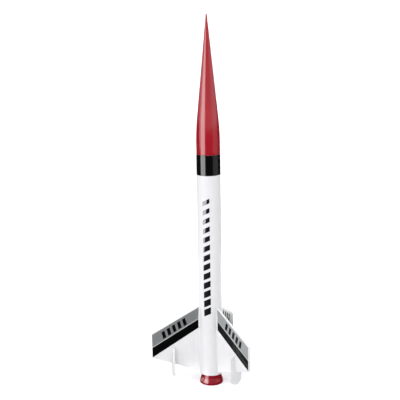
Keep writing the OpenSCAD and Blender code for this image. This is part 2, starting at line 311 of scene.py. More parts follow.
def spring_steel():
    p = Paint("brushed_spring_steel", 0.3, Metallic=1.0)
    brush = p.noise(1600, 3, 0.6, p.stretched((1, 1, 0.03)))
    p.tones(brush, 0.3, 0.7, (0.62, 0.62, 0.63), (0.43, 0.43, 0.45))
    p.roughness(p.steps(brush, 0.3, 0.7, 0.22, 0.42))
    p.bump(brush, 0.012)
    return p.mat


def mount_paper():
    p = Paint("folded_mount_paper", 0.75, Specular_IOR_Level=0.3)
    fibre = p.noise(1200, 4, 0.6)
    damp = p.noise(120, 3)
    base = p.mix(p.steps(fibre, 0.3, 0.7), (0.72, 0.70, 0.64), (0.62, 0.60, 0.54))
    p.colour(p.mix(p.steps(damp, 0.5, 0.65, 0.0, 0.6), base, (0.52, 0.49, 0.40)))
    p.bump(fibre, 0.04)
    return p.mat


def elastic():
    p = Paint("braided_elastic", 0.85, Sheen_Weight=0.25, Specular_IOR_Level=0.2)
    x, y, z = p.xyz()
    along = p.math("MULTIPLY", z, 5200.0)
    around = p.math("MULTIPLY", p.math("ARCTAN2", y, x), 60.0)
    one = p.math("SINE", p.math("ADD", along, around))
    two = p.math("SINE", p.math("SUBTRACT", along, around))
    weave = p.math("MULTIPLY", one, two)
    # The colour follows the braid's height: darker in the grooves between the strands, which is painted
    # shade.
    p.tones(weave, -0.8, 0.8, (0.50, 0.48, 0.42), (0.76, 0.74, 0.68))
    p.bump(weave, 0.07, 0.8)
    return p.mat


def chute_film(name, light, dark):
    p = Paint(name, 0.3, Specular_IOR_Level=0.45)
    crease = p.noise(150, 5, 0.65, p.stretched((1, 1, 0.6)), 0.6)
    p.tones(crease, 0.35, 0.65, light, dark)
    p.roughness(p.steps(crease, 0.3, 0.7, 0.2, 0.42))
    p.bump(crease, 0.12, 0.7)
    return p.mat


def thread():
    p = Paint("twisted_thread", 0.8, Sheen_Weight=0.2, Specular_IOR_Level=0.2)
    x, y, z = p.xyz()
    along = p.math("MULTIPLY", z, 6500.0)
    across = p.math("MULTIPLY", p.math("ADD", x, y), 9000.0)
    twist = p.math("SINE", p.math("ADD", along, across))
    # The colour follows the twist's height: darker in the grooves between the plies, which is painted shade.
    p.tones(twist, -0.7, 0.7, (0.60, 0.59, 0.55), (0.82, 0.81, 0.78))
    p.bump(twist, 0.04, 0.8)
    return p.mat


RED = red_plastic("red_plastic", (0.292, 0.0055, 0.013), (0.268, 0.0045, 0.011))
# The nozzle ring's red is a darker copy of the red plastic: painted shade for the body tube's shadow over the
# ring.
SHADED_RED = red_plastic("shaded_red_plastic", (0.225, 0.0048, 0.012), (0.200, 0.004, 0.010), 0.34)
TUBE_WHITE, PAPER = white_paper_tube(), bare_paper()
BALSA, GLUE, WRAP = painted_balsa(), glue(), black_wrap()
SILVER, DECAL_BLACK, LINE = silver_foil(), decal_black(), decal_line()
KRAFT, CARD, FILM, STEEL = kraft(), ring_card(), clear_film(), spring_steel()
MOUNT_PAPER, ELASTIC, THREAD = mount_paper(), elastic(), thread()
CHUTE_ORANGE = chute_film("chute_film_orange", (0.72, 0.10, 0.02), (0.60, 0.07, 0.012))
CHUTE_WHITE = chute_film("chute_film_white", (0.78, 0.77, 0.74), (0.68, 0.67, 0.64))


# ---------------------------------------------------------------- mesh helpers

def polar(angle, r, z):
    a = math.radians(angle)
    return r * math.cos(a), r * math.sin(a), z


def turned(points, angle):
    """Points in a piece's own frame, with x outwards and y across it, turned round Z to its angle."""
    c, s = math.cos(math.radians(angle)), math.sin(math.radians(angle))
    return [(x * c - y * s, x * s + y * c, z) for x, y, z in points]


def rounded(points, radii, steps=5):
    """A closed outline with its corners rounded. radii has a number for each corner."""
    out = []
    for i, corner in enumerate(points):
        if radii[i] <= 0:
            out.append(corner)
            continue
        p = Vector(corner)
        a, b = Vector(points[i - 1]) - p, Vector(points[(i + 1) % len(points)]) - p
        cut = min(radii[i] / math.tan(a.angle(b) / 2), 0.49 * a.length, 0.49 * b.length)
        out += curve_points(p + a.normalized() * cut, p, p + b.normalized() * cut, steps)
    return out


class Shape:
    """Vertices and faces of one piece while it is built, in millimetres, with a material number per face."""

    def __init__(self):
        self.verts, self.faces, self.mats = [], [], []

    def add(self, verts, faces, mat=0):
        """mat is a number, or a list with one for each face."""
        base = len(self.verts)
        self.verts += [tuple(v) for v in verts]
        for i, f in enumerate(faces):
            self.faces.append([base + k for k in f])
            self.mats.append(mat if isinstance(mat, int) else mat[i])
        return self

    def lathe(self, profile, segments, notch=None, bump=None, mat=0):
        """Turns a closed (radius, height) outline round Z. notch is the angle and width of a straight gap,
        and bump a Seam. mat is a number, or a function of the outline's edge number."""
        n = len(profile)
        verts, faces, mats = [], [], []
        if notch:
            angle, width = notch
            count = segments + 1
            for k in range(count):
                for r, z in profile:
                    half = math.degrees(math.asin(width / 2 / r))
                    verts.append(polar(angle + half + k / segments * (360 - 2 * half), r, z))
        else:
            angles = {360.0 * k / segments for k in range(segments)}
            if bump:
                angles |= {(a + d) % 360 for a in bump.angles for d in bump.offsets}
            count = len(angles)
            for a in sorted(angles):
                for r, z in profile:
                    ridge = bump(a, z) if bump and r > bump.least_r else 0.0
                    verts.append(polar(a, r + ridge, z))
        for k in range(count - 1 if notch else count):
            for i in range(n):
                j = (i + 1) % n
                k2 = (k + 1) % count
                faces.append([k * n + i, k2 * n + i, k2 * n + j, k * n + j])
                mats.append(mat(i) if callable(mat) else mat)
        if notch:
            faces.append(list(range(n)))
            faces.append([(count - 1) * n + i for i in reversed(range(n))])
            mats += [mats[0]] * 2
        return self.add(verts, faces, mats)

    def prism(self, outline, low, high, frame_of, mat=0):
        """A flat outline with thickness from low to high. frame_of(u, v, w) gives the point."""
        n = len(outline)
        verts = [frame_of(u, v, low) for u, v in outline] + [frame_of(u, v, high) for u, v in outline]
        faces = [list(range(n)), [n + i for i in reversed(range(n))]]
        faces += [[i, n + i, n + (i + 1) % n, (i + 1) % n] for i in range(n)]
        return self.add(verts, faces, mat)

    def tube(self, path, radius, sides, closed=False):
        """A round cord along a path. radius is a number, or one for each point."""
        pts = [Vector(p) for p in path]
        n = len(pts)
        verts, faces = [], []
        normal = None
        for i, p in enumerate(pts):
            if closed:
                t = (pts[(i + 1) % n] - pts[i - 1]).normalized()
            else:
                t = (pts[min(i + 1, n - 1)] - pts[max(i - 1, 0)]).normalized()
            if normal is None:
                normal = t.orthogonal().normalized()
            normal = (normal - t * normal.dot(t)).normalized()
            side = t.cross(normal)
            r = radius if isinstance(radius, (int, float)) else radius[i]
            for k in range(sides):
                a = 2 * math.pi * k / sides
                verts.append(p + r * (normal * math.cos(a) + side * math.sin(a)))
        for i in range(n if closed else n - 1):
            for k in range(sides):
                m = (k + 1) % sides
                j = (i + 1) % n
                faces.append([i * sides + k, i * sides + m, j * sides + m, j * sides + k])
        if not closed:
            faces.append(list(reversed(range(sides))))
            faces.append([(n - 1) * sides + k for k in range(sides)])
        return self.add(verts, faces)

    def make(self, name, materials, smooth=35.0, weld=True):
        """The object, with edges sharper than smooth left hard. weld joins vertices that meet."""
        mesh = bpy.data.meshes.new(name)
        mesh.from_pydata([tuple(c * MM for c in v) for v in self.verts], [], self.faces)
        materials = materials if isinstance(materials, (list, tuple)) else [materials]
        for m in materials:
            mesh.materials.append(m)
        mesh.polygons.foreach_set("material_index", self.mats)
        bm = bmesh.new()
        bm.from_mesh(mesh)
        if weld:
            bmesh.ops.remove_doubles(bm, verts=bm.verts, dist=1e-7)
            bmesh.ops.recalc_face_normals(bm, faces=bm.faces)
        bm.to_mesh(mesh)
        bm.free()
        obj = bpy.data.objects.new(name, mesh)
        bpy.context.scene.collection.objects.link(obj)
        shade(obj, smooth)
        return obj


def shade(obj, angle):
    obj.data.polygons.foreach_set("use_smooth", [True] * len(obj.data.polygons))
    obj.data.set_sharp_from_angle(angle=math.radians(angle))
    obj.data.update()


def soften(obj, width_mm, pick, segments=3, angle=35.0):
    """Rounds the edges that pick(edge) chooses."""
    bm = bmesh.new()
    bm.from_mesh(obj.data)
    corners = [e for e in bm.edges if len(e.link_faces) == 2 and e.calc_face_angle(0) > math.radians(30)]
    chosen = [e for e in corners if pick(e)]
    bmesh.ops.bevel(bm, geom=chosen, offset=width_mm * MM, segments=segments, profile=0.5, affect="EDGES")
    bm.to_mesh(obj.data)
    bm.free()
    shade(obj, angle)


def attach(obj, body, slot, *replaced):
    """Gives a piece its body, and hides the CAD nodes that it stands for. slot is not used."""
    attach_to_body(obj, body)
    if replaced:
        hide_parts(*replaced)


def smooth_path(points, steps=6):
    """A Catmull-Rom curve through the points."""
    pts = [Vector(p) for p in points]
    pts = [2 * pts[0] - pts[1]] + pts + [2 * pts[-1] - pts[-2]]
    out = []
    for i in range(1, len(pts) - 2):
        a, b, c, d = pts[i - 1:i + 3]
        for k in range(steps):
            t = k / steps
            out.append(0.5 * (2 * b + (c - a) * t + (2 * a - 5 * b + 4 * c - d) * t ** 2
                              + (3 * b - a - 3 * c + d) * t ** 3))
    out.append(pts[-2])
    return out


class Seam:
    """A thin moulding ridge at each of these angles, which a lathe adds to its radius between two heights."""

    angles = (37.0, 217.0)
    offsets = (-1.2, -0.7, -0.35, 0.0, 0.35, 0.7, 1.2)
    half_width, height, least_r = 0.8, 0.07, 1.5

    def __init__(self, low, high):
        self.low, self.high = low, high

    def __call__(self, angle, z):
        near = min(min(abs(angle - s), 360 - abs(angle - s)) for s in self.angles)
        if not self.low < z < self.high or near > self.half_width:
            return 0.0
        return self.height * (1 - near / self.half_width) ** 0.5


def patch(shape, angles, bottom, top, radii, across=10, up=1, push=None):
    """A closed curved plate between two angles and two radii. bottom(s) and top(s) are its heights at the
    share s across it, and push(s, t) is added to its radius there, at the share t up it."""
    verts = []
    for r in radii:
        for j in range(up + 1):
            for i in range(across + 1):
                s, t = i / across, j / up
                z = bottom(s) * (1 - t) + top(s) * t
                extra = push(s, t) if push else 0.0
                verts.append(polar(angles[0] + (angles[1] - angles[0]) * s, r + extra, z))
    w = across + 1
    off = w * (up + 1)
    faces = []
    for j in range(up):
        for i in range(across):
            q = [j * w + i, j * w + i + 1, (j + 1) * w + i + 1, (j + 1) * w + i]
            faces += [q[::-1], [off + k for k in q]]
    rim = list(range(w)) + [j * w + across for j in range(1, up + 1)]
    rim += [up * w + i for i in range(across - 1, -1, -1)] + [j * w for j in range(up - 1, 0, -1)]
    for k, a in enumerate(rim):
        b = rim[(k + 1) % len(rim)]
        faces.append([a, b, off + b, off + a])
    return shape.add(verts, faces)


def sweep_rows(shape, rows, mat=0):
    """Joins closed cross-sections of equal length into a solid."""
    n = len(rows[0])
    verts = [p for row in rows for p in row]
    faces = [[k * n + i, k * n + (i + 1) % n, (k + 1) * n + (i + 1) % n, (k + 1) * n + i]
             for k in range(len(rows) - 1) for i in range(n)]
    faces += [list(reversed(range(n))), [(len(rows) - 1) * n + i for i in range(n)]]
    return shape.add(verts, faces, mat)


def curve_points(start, control, end, steps=5):
    """A curve from start to end that is drawn towards its control point."""
    a, c, b = Vector(start), Vector(control), Vector(end)
    shares = [k / steps for k in range(steps + 1)]
    return [tuple(a * (1 - t) ** 2 + c * 2 * t * (1 - t) + b * t ** 2) for t in shares]


# ---------------------------------------------------------------- tube, wrap and graphic

def build_tube():
    lip, chamfer, cut_edge = 0.06, 0.08, 0.05
    z0, z1 = TUBE_Z, TUBE_TOP
    inside, outside = TUBE_BORE + lip, TUBE_R - chamfer
    outline = [(TUBE_BORE, z0 + cut_edge), (inside, z0), (outside, z0), (TUBE_R, z0 + 0.09),
               (TUBE_R, 60.0), (TUBE_R, 140.0), (TUBE_R, 200.0), (TUBE_R, z1 - 0.09),
               (outside, z1), (inside, z1), (TUBE_BORE, z1 - cut_edge)]
    painted = {3, 4, 5, 6}
    shape = Shape().lathe(outline, 160, mat=lambda i: 0 if i in painted else 1)
    attach(shape.make("body_tube_paper", [TUBE_WHITE, PAPER]), "airframe", "white_tube", "body_tube")


def build_band():
    height, overlap = 21.4, (112, 126)
    z0, z1 = TUBE_TOP - height, TUBE_TOP
    r0, r1 = TUBE_R + STUCK_LOW, TUBE_R + STUCK_HIGH
    outline = [(r0, z0), (r1 - 0.03, z0), (r1, z0 + 0.03), (r1, z1 - 0.05), (r1 - 0.04, z1), (r0, z1)]
    shape = Shape().lathe(outline, 160)
    patch(shape, overlap, lambda s: z0 + 0.15, lambda s: z1 - 0.1, (r1 - 0.02, r1 + 0.05))
    attach(shape.make("tube_wrap_black", WRAP), "airframe", "black_wrap", "tube_band")


def build_graphic():
    count, first_z, pitch, tallest, shrink = 13, 78, 10, 7.4, 0.22
    half, slant, mid_r = 3.7, 3.6, TUBE_R + (STUCK_LOW + STUCK_HIGH) / 2
    reach = math.degrees(math.asin(half / mid_r))
    sides = (GRAPHIC_ANGLE - reach, GRAPHIC_ANGLE + reach)
    shape = Shape()
    for i in range(count):
        z, height = first_z + pitch * i, tallest - shrink * i

        def low(s, z=z):
            x = mid_r * math.sin(math.radians(-reach + 2 * reach * s))
            return z + slant * (x + half) / (2 * half)

        def high(s, low=low, height=height):
            return low(s) + height

        patch(shape, sides, low, high, (TUBE_R + STUCK_LOW, TUBE_R + STUCK_HIGH), across=12)
    attach(shape.make("body_bars", graphic_print(GRAPHIC_ANGLE)), "airframe", "black_print", "body_graphic")


# ---------------------------------------------------------------- nose cone

def build_nose():
    seat, corner_z, blend = TUBE_TOP + 0.05, 275.4, 13.0
    tip_r, ball_z, wall, skirt_r, shoulder_r = 0.7, 393.3, 1.2, 0.28, 12.0
    slope = math.atan((TUBE_R - tip_r) / (ball_z - corner_z))
    blend_r = blend / math.tan(slope / 2)

    def shell(inset, steps):
        """The curve that leads from the straight base into the cone's slope."""
        angles = [slope * i / steps for i in range(steps + 1)]
        return [(TUBE_R - inset - blend_r * (1 - math.cos(a)), corner_z - blend + blend_r * math.sin(a))
                for a in angles]

    def ball(share):
        a = slope + (math.pi / 2 - slope) * share
        return tip_r * math.cos(a), ball_z + tip_r * math.sin(a)

    base = shell(0, 20)
    start, end = Vector(base[-1]), Vector(ball(0))
    straight = [tuple(start.lerp(end, k / 14)) for k in range(1, 14)]
    tip = [ball(k / 8) for k in range(9)]
    skirt = [(TUBE_R - skirt_r * (1 - math.sin(t)), seat + skirt_r * (1 - math.cos(t)))
             for t in (math.pi / 2 * k / 4 for k in range(5))]
    shoulder = [(SHOULDER_BORE, SHOULDER_Z), (shoulder_r - 0.4, SHOULDER_Z),
                (shoulder_r, SHOULDER_Z + 0.8), (shoulder_r, seat)]
    inside = [(0.0, ball_z - wall / math.tan(slope))] + list(reversed(shell(wall, 8)))
    inside += [(TUBE_R - wall, seat + 2), (SHOULDER_BORE, seat)]
    outline = shoulder + skirt + base + straight + tip + inside
    shape = Shape().lathe(outline, 144, bump=Seam(seat + 0.4, 392.0))
    attach(shape.make("nose_cone_shell", RED, 28), "nose", "red_plastic", "nose_cone")


def build_plug():
    plug_r, plug_top, edge = SHOULDER_BORE - 0.05, SHOULDER_Z + 4.0, 0.3
    plug = Shape().lathe([(0.0, SHOULDER_Z), (plug_r - edge, SHOULDER_Z), (plug_r, SHOULDER_Z + edge),
                          (plug_r, plug_top), (0.0, plug_top)], 96)
    loop_r, loop_wire, foot_wire, steps = 4.5, 1.0, 1.5, 24
    foot_z = SHOULDER_Z + 0.6
    turns = [math.pi * k / steps for k in range(steps + 1)]
    arc = [polar(LOOP_ANGLE, loop_r * math.cos(t), SHOULDER_Z - loop_r * math.sin(t)) for t in turns]
    path = [polar(LOOP_ANGLE, loop_r, foot_z)] + arc + [polar(LOOP_ANGLE, -loop_r, foot_z)]
    swell = [loop_wire + 0.45 * max(0.0, 1 - min(k, steps - k) / 3) ** 2 for k in range(steps + 1)]
    plug.tube(path, [foot_wire] + swell + [foot_wire], 20)
    attach(plug.make("nose_base_plug", RED, 30), "nose", "red_plastic", "nose_plug")


# ---------------------------------------------------------------- fins

def fin_line(root_z, tip_z):
    """The height, at any radius, of a straight line from the fin's root to its tip."""
    return lambda r: root_z + (tip_z - root_z) * (r - TUBE_R) / FIN_SPAN


# The fin's two edges, and the lower edges of its decal's silver panel and black stripe.
lead_z, trail_z = fin_line(LEAD_ROOT, LEAD_TIP), fin_line(TRAIL_ROOT, TRAIL_TIP)
panel_z, stripe_z = fin_line(73.2, 42.8), fin_line(63.3, TRAIL_TIP)


def build_fin(key, angle):
    normal = Vector(turned([(0, 1, 0)], angle)[0])

    def flat(u, v, w):
        return turned([(u, w, v)], angle)[0]

    root, tip, corner = TUBE_R + STUCK_LOW, FIN_TIP_R, 0.8
    slot_in, slot_out = WINGLET_IN - SLOT_PLAY, WINGLET_OUT + SLOT_PLAY
    outline = [(root, TRAIL_ROOT), (slot_in, trail_z(slot_in)), (slot_in, SLOT_TOP), (slot_out, SLOT_TOP),
               (slot_out, trail_z(slot_out)), (tip - corner, TRAIL_TIP - 0.4), (tip - 0.25, TRAIL_TIP - 0.25),
               (tip, TRAIL_TIP + 0.4), (tip, LEAD_TIP - 0.4), (tip - 0.25, LEAD_TIP),
               (tip - corner, lead_z(tip - corner)), (root, LEAD_ROOT)]
    fin = Shape().prism(outline, -FIN_HALF, FIN_HALF, flat).make("fin_" + key + "_board", BALSA)

    def outer_edge(e):
        a, b = (v.co / MM for v in e.verts)
        mid = (a + b) / 2
        r = math.hypot(mid.x, mid.y)
        across = abs((b - a).normalized().dot(normal)) > 0.5
        in_slot = slot_in - 0.05 < r < slot_out + 0.05 and mid.z < SLOT_TOP + 0.1
        return not across and r > TUBE_R + 0.2 and not in_slot

    soften(fin, 0.55, outer_edge)
    attach(fin, "airframe", "white_fin", "fin_" + key)

    fillets = Shape()
    low, high, steps = TRAIL_ROOT + 0.3, LEAD_ROOT - 0.5, 32
    inner_y, widest, wander = FIN_HALF - 0.03, 1.5, 0.06
    for side in (1, -1):
        rows = []
        for k in range(steps + 1):
            s = k / steps
            reach = widest * min(1.0, 0.25 + 6 * min(s, 1 - s)) * (1 + wander * math.sin(k * 1.9 + side))
            corner_p = (math.sqrt((TUBE_R - 0.04) ** 2 - inner_y ** 2) - 0.05, inner_y)
            on_fin = (math.sqrt(TUBE_R ** 2 - inner_y ** 2) + reach, inner_y)
            on_tube = (math.sqrt(GLUE_R ** 2 - (inner_y + reach) ** 2), inner_y + reach)
            control = (corner_p[0] + 0.3 * reach, corner_p[1] + 0.3 * reach)
            section = [corner_p] + curve_points(on_fin, control, on_tube)
            rows.append(turned([(x, side * y, low + (high - low) * s) for x, y in section], angle))
        sweep_rows(fillets, rows)
    attach(fillets.make("fin_" + key + "_fillets", GLUE, 40), "airframe", "white_fin")


def build_winglet(key, angle):
    def stand(u, v, w):
        return turned([(w, u, v)], angle)[0]

    half, base, top, cut, steps = 7.25, 9.9, 42.0, 3.0, 32
    slot_half, side_low = 1.25, 30.0
    arc = [(half * math.cos(t), base + half + half * math.sin(t))
           for t in (math.pi + math.pi * k / steps for k in range(steps + 1))]
    corners = [(half, side_low), (half, top - cut), (half - cut, top), (slot_half, top)]
    right = rounded(corners, [0, 1.2, 1.2, 0], 4)[1:]
    left = [(-x, z) for x, z in reversed(right)]
    outline = arc + right + [(slot_half, SLOT_TOP), (-slot_half, SLOT_TOP)] + left
    winglet = Shape().prism(outline, WINGLET_IN, WINGLET_OUT, stand).make("winglet_" + key + "_board", BALSA)
    along = Vector(turned([(1, 0, 0)], angle)[0])
    across = Vector(turned([(0, 1, 0)], angle)[0])

    def outer_edge(e):
        a, b = (v.co / MM for v in e.verts)
        mid = (a + b) / 2
        in_slot = abs(mid.dot(across)) < slot_half + 0.05 and mid.z > SLOT_TOP - 0.1
        return abs((b - a).normalized().dot(along)) < 0.5 and not in_slot

    soften(winglet, 0.5, outer_edge)
    attach(winglet, "airframe", "white_fin", "winglet_" + key)


def build_decal(key, angle, side):
    silver, line, black = range(3)
    shape = Shape()

    def flat(u, v, w):
        return turned([(u, side * w, v)], angle)[0]

    def plate(outline, low, high, mat):
        outline = outline if side > 0 else outline[::-1]
        shape.prism(outline, FIN_HALF + low, FIN_HALF + high, flat, mat)

    def strip(top, bottom, mat):
        r0, r1, steps = TUBE_R + 0.7, FIN_TIP_R - 0.4, 6
        radii = [r0 + (r1 - r0) * k / steps for k in range(steps + 1)]
        outline = [(r, bottom(r)) for r in radii] + [(r, top(r)) for r in reversed(radii)]
        plate(outline, STUCK_LOW, STUCK_HIGH, mat)

    line_height, inset, stripe_inset = 0.7, 0.5, 0.3
    strip(lambda r: lead_z(r) - inset, lambda r: panel_z(r) + line_height, silver)
    strip(lambda r: panel_z(r) + line_height, panel_z, line)
    strip(panel_z, lambda r: stripe_z(r) + stripe_inset, black)

    bars, first_r, pitch, rise, width, lean, height = 5, 26.0, 5.6, 2.2, 3.2, 2.0, 8.6
    slope = (LEAD_TIP - LEAD_ROOT) / FIN_SPAN
    corners = ((0, 0), (width, 0), (width + lean, height), (lean, height))
    for k in range(bars):
        r = first_r + pitch * k
        low = panel_z(r) + rise
        plate([(r + u, low + v + u * slope) for u, v in corners], STUCK_HIGH - 0.01, STUCK_HIGH + 0.02, black)
    name = "fin_decal_" + key + ("1" if side > 0 else "2")
    attach(shape.make(name + "_print", [SILVER, LINE, DECAL_BLACK]), "airframe", "silver_decal", name)


# ---------------------------------------------------------------- nozzle ring and motor mount

def build_nozzle_ring():
    """A plug that sits in the tube, a wall that flares down to a rounded rim, and a notch for the hook."""
    neck, flare, rim_r, flare_z, lag, steps = 10.8, 12.4, 1.0, 1.3, 1.5, 16
    bore, notch_width, top = 9.4, 4.4, TUBE_Z + 0.01
    wall = [(neck + (flare - neck) * (1 - math.cos(math.pi * s ** lag)) / 2, TUBE_Z + (flare_z - TUBE_Z) * s)
            for s in (k / steps for k in range(steps + 1))]
    rim = [(flare - rim_r * (1 - math.cos(t)), rim_r * (1 - math.sin(t)))
           for t in (math.pi / 2 * k / 8 for k in range(1, 9))]
    plug = [(bore, 19.1), (bore + 0.3, 19.4), (11.6, 19.4), (12.0, 19.0), (12.0, top), (neck, top)]
    outline = plug + wall + rim + [(bore + 0.25, 0.0), (bore, 0.25)]
    shape = Shape().lathe(outline, 144, notch=(HOOK_ANGLE, notch_width))
    # The ring's darker red is painted shade.
    attach(shape.make("nozzle_ring_plastic", SHADED_RED, 30), "airframe", "red_plastic", "nozzle_ring")


def build_motor_tube():
    r0, r1, z0, z1, edge = 9.0, 9.35, 1.6, 71.6, 0.05
    outline = [(r0, z0 + edge), (r0 + edge, z0), (r1 - edge, z0), (r1, z0 + edge),
               (r1, z1 - edge), (r1 - edge, z1), (r0 + edge, z1), (r0, z1 - edge)]
    shape = Shape().lathe(outline, 128)
    attach(shape.make("motor_tube_kraft", KRAFT), "airframe", "kraft_paper", "motor_tube")


def build_hook():
    def flat(u, v, w):
        return turned([(u, w, v)], HOOK_ANGLE)[0]

    half, r0, r1, thick = 1.6, 9.45, 10.05, 0.6
    low, high, tab_r, seat_r = 0.7, 72.3, 7.6, 7.8
    corners = [(tab_r, low), (r1, low), (r1, high), (seat_r, high),
               (seat_r, high - thick), (r0, high - thick), (r0, low + thick), (tab_r, low + thick)]
    outline = rounded(corners, [0.15, 1.0, 1.0, 0.15, 0.15, 0.4, 0.4, 0.15], 5)
    hook = Shape().prism(outline, -half, half, flat).make("motor_hook_strip", STEEL, 25)
    normal = Vector(turned([(0, 1, 0)], HOOK_ANGLE)[0])

    def long_edge(e):
        return abs((e.verts[1].co - e.verts[0].co).normalized().dot(normal)) < 0.5

    soften(hook, 0.09, long_edge, 2, 25)
    attach(hook, "hook", "spring_steel", "motor_hook")


def dress_rings():
    """These nodes keep the CAD's mesh, and take a material."""
    kept = {"thrust_ring": CARD, "forward_centering_ring": CARD, "aft_centering_ring": CARD,
            "hook_retainer_band": FILM}
    for name, material in kept.items():
        mesh = nodes[name].data
        mesh.materials.clear()
        mesh.materials.append(material)


def build_lug():
    r_in, r_out, z0, z1, edge, steps = 2.0, 2.25, 104.0, 164.0, 0.06, 20
    axis = TUBE_R + STUCK_LOW + r_out
    ring = Shape().lathe([(r_in, z0 + 0.04), (r_in + 0.05, z0), (r_out - edge, z0), (r_out, z0 + edge),
                          (r_out, z1 - edge), (r_out - edge, z1), (r_in + 0.05, z1), (r_in, z1 - 0.04)], 64)
    ring.verts = turned([(x + axis, y, z) for x, y, z in ring.verts], HOOK_ANGLE)
    glue_r, glue_inset, glue_mat = r_out - 0.03, 0.6, 1
    for side in (1, -1):
        rows = []
        for k in range(steps + 1):
            s = k / steps
            z = z0 + glue_inset + (z1 - z0 - 2 * glue_inset) * s
            full = min(1.0, 0.35 + 8 * min(s, 1 - s))
            lift = math.radians(28 + 24 * full)
            reach = 1.7 + 1.2 * full
            on_lug = (axis - glue_r * math.cos(lift), glue_r * math.sin(lift))
            on_tube = (math.sqrt(GLUE_R ** 2 - reach ** 2), reach)
            section = [(GLUE_R, 0.55)] + curve_points(on_lug, (12.45 + 0.15 * full, 1.35), on_tube)
            rows.append(turned([(x, side * y, z) for x, y in section], HOOK_ANGLE))
        sweep_rows(ring, rows, glue_mat)
    attach(ring.make("launch_lug_paper", [TUBE_WHITE, GLUE], 35), "airframe", "white_tube", "launch_lug")


# ---------------------------------------------------------------- recovery train

def build_cord_mount():
    """Three layers of folded paper. The innermost bulges over the cord's end."""
    angle, mid_r, bulge, bulge_half = 300, 11.3, 0.85, 1.3
    layers = ((34.0, 196.0, 222.0, 11.76, 11.98), (33.0, 196.5, 221.4, 11.46, 11.72),
              (32.4, 197.1, 220.9, 11.16, 11.42))
    shape = Shape()
    for n, (half, z0, z1, r0, r1) in enumerate(layers):
        def push(s, t, n=n, half=half):
            off = -0.02 + 0.04 * noise.noise(Vector((s * 7, t * 5, n * 3.1)))
            if n == len(layers) - 1:
                reach = math.radians((s - 0.5) * 2 * half) * mid_r
                off -= bulge * math.exp(-(reach / bulge_half) ** 2) * min(1.0, max(0.0, (t - 0.35) * 4))
            return off

        def low(s, z0=z0):
            return z0

        def high(s, z1=z1):
            return z1

        patch(shape, (angle - half, angle + half), low, high, (r0, r1), across=48, up=14, push=push)
    fold = shape.make("shock_cord_mount_fold", MOUNT_PAPER, 40)
    attach(fold, "airframe", "mount_paper", "shock_cord_mount")


def cord_route():
    start = [(300, 11, 221.4), (300, 11, 224.5), (306, 10.9, 227.2), (315, 10.8, 228.8), (323, 10.7, 229.2),
             (331, 10.6, 228.8), (339, 10.6, 227.2), (344, 10.6, 224.5)]
    points = [polar(*p) for p in start]
    points += [polar(CORD_FIRST, CORD_PATH_R, z) for z in (219, 214, *reversed(RUN))]
    for i in range(4):
        a = CORD_FIRST + 2 * i * CORD_PITCH
        points += [polar(a + turn, CORD_PATH_R, CORD_LOW - bulge) for turn, bulge in FOLD]
        if i < 3:
            a += CORD_PITCH
            points += [polar(a, CORD_PATH_R, z) for z in RUN]
            points += [polar(a + turn, CORD_PATH_R, CORD_HIGH + bulge) for turn, bulge in FOLD]
            points += [polar(a + CORD_PITCH, CORD_PATH_R, z) for z in reversed(RUN)]
    return points


def build_shock_cord():
    folded = Shape().tube(smooth_path(cord_route()), CORD_R, 12)
    attach(folded.make("shock_cord_folded", ELASTIC, 60), "airframe", "elastic_cord", "shock_cord")

    end_angle = CORD_FIRST + 7 * CORD_PITCH
    straight = (171.9, 175, 179, 183, 187, 191, 195, 199, 203, 207, 211, 214.5)
    lean = ((10.3, 218), (9.4, 222), (8.1, 225.4), (6.9, 227.5), (5.9, 228.4))
    points = [polar(end_angle, CORD_PATH_R, z) for z in straight]
    points += [polar(end_angle, r, z) for r, z in lean]
    last = Shape().tube(smooth_path(points), CORD_R, 12).make("shock_cord_last_run", ELASTIC, 60)
    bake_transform(last)

    centre = Vector(polar(end_angle, 4.5, 229.0))
    out = Vector(polar(end_angle, 1, 0))
    side = Vector((-out.y, out.x, 0))

    def beside(u, v, z):
        """A point near the knot: u outwards, v sideways and z up from its middle."""
        return centre + u * out + v * side + Vector((0, 0, z))

    wrap_r, half_height, turns, steps = 1.72, 0.75, 2, 48
    wraps = []
    for k in range(steps + 1):
        t = 2 * math.pi * turns * k / steps
        wraps.append(beside(wrap_r * math.cos(t), wrap_r * math.sin(t), half_height * (2 * k / steps - 1)))
    tail = [beside(wrap_r, 0.4, half_height), beside(1.9, 1.9, 0.2), beside(1.7, 3.2, -1.2)]
    knot = Shape().tube(wraps, 0.7, 12).tube(smooth_path(tail), 0.66, 12)
    attach(knot.make("shock_cord_knot", ELASTIC, 60), "nose", "elastic_cord")


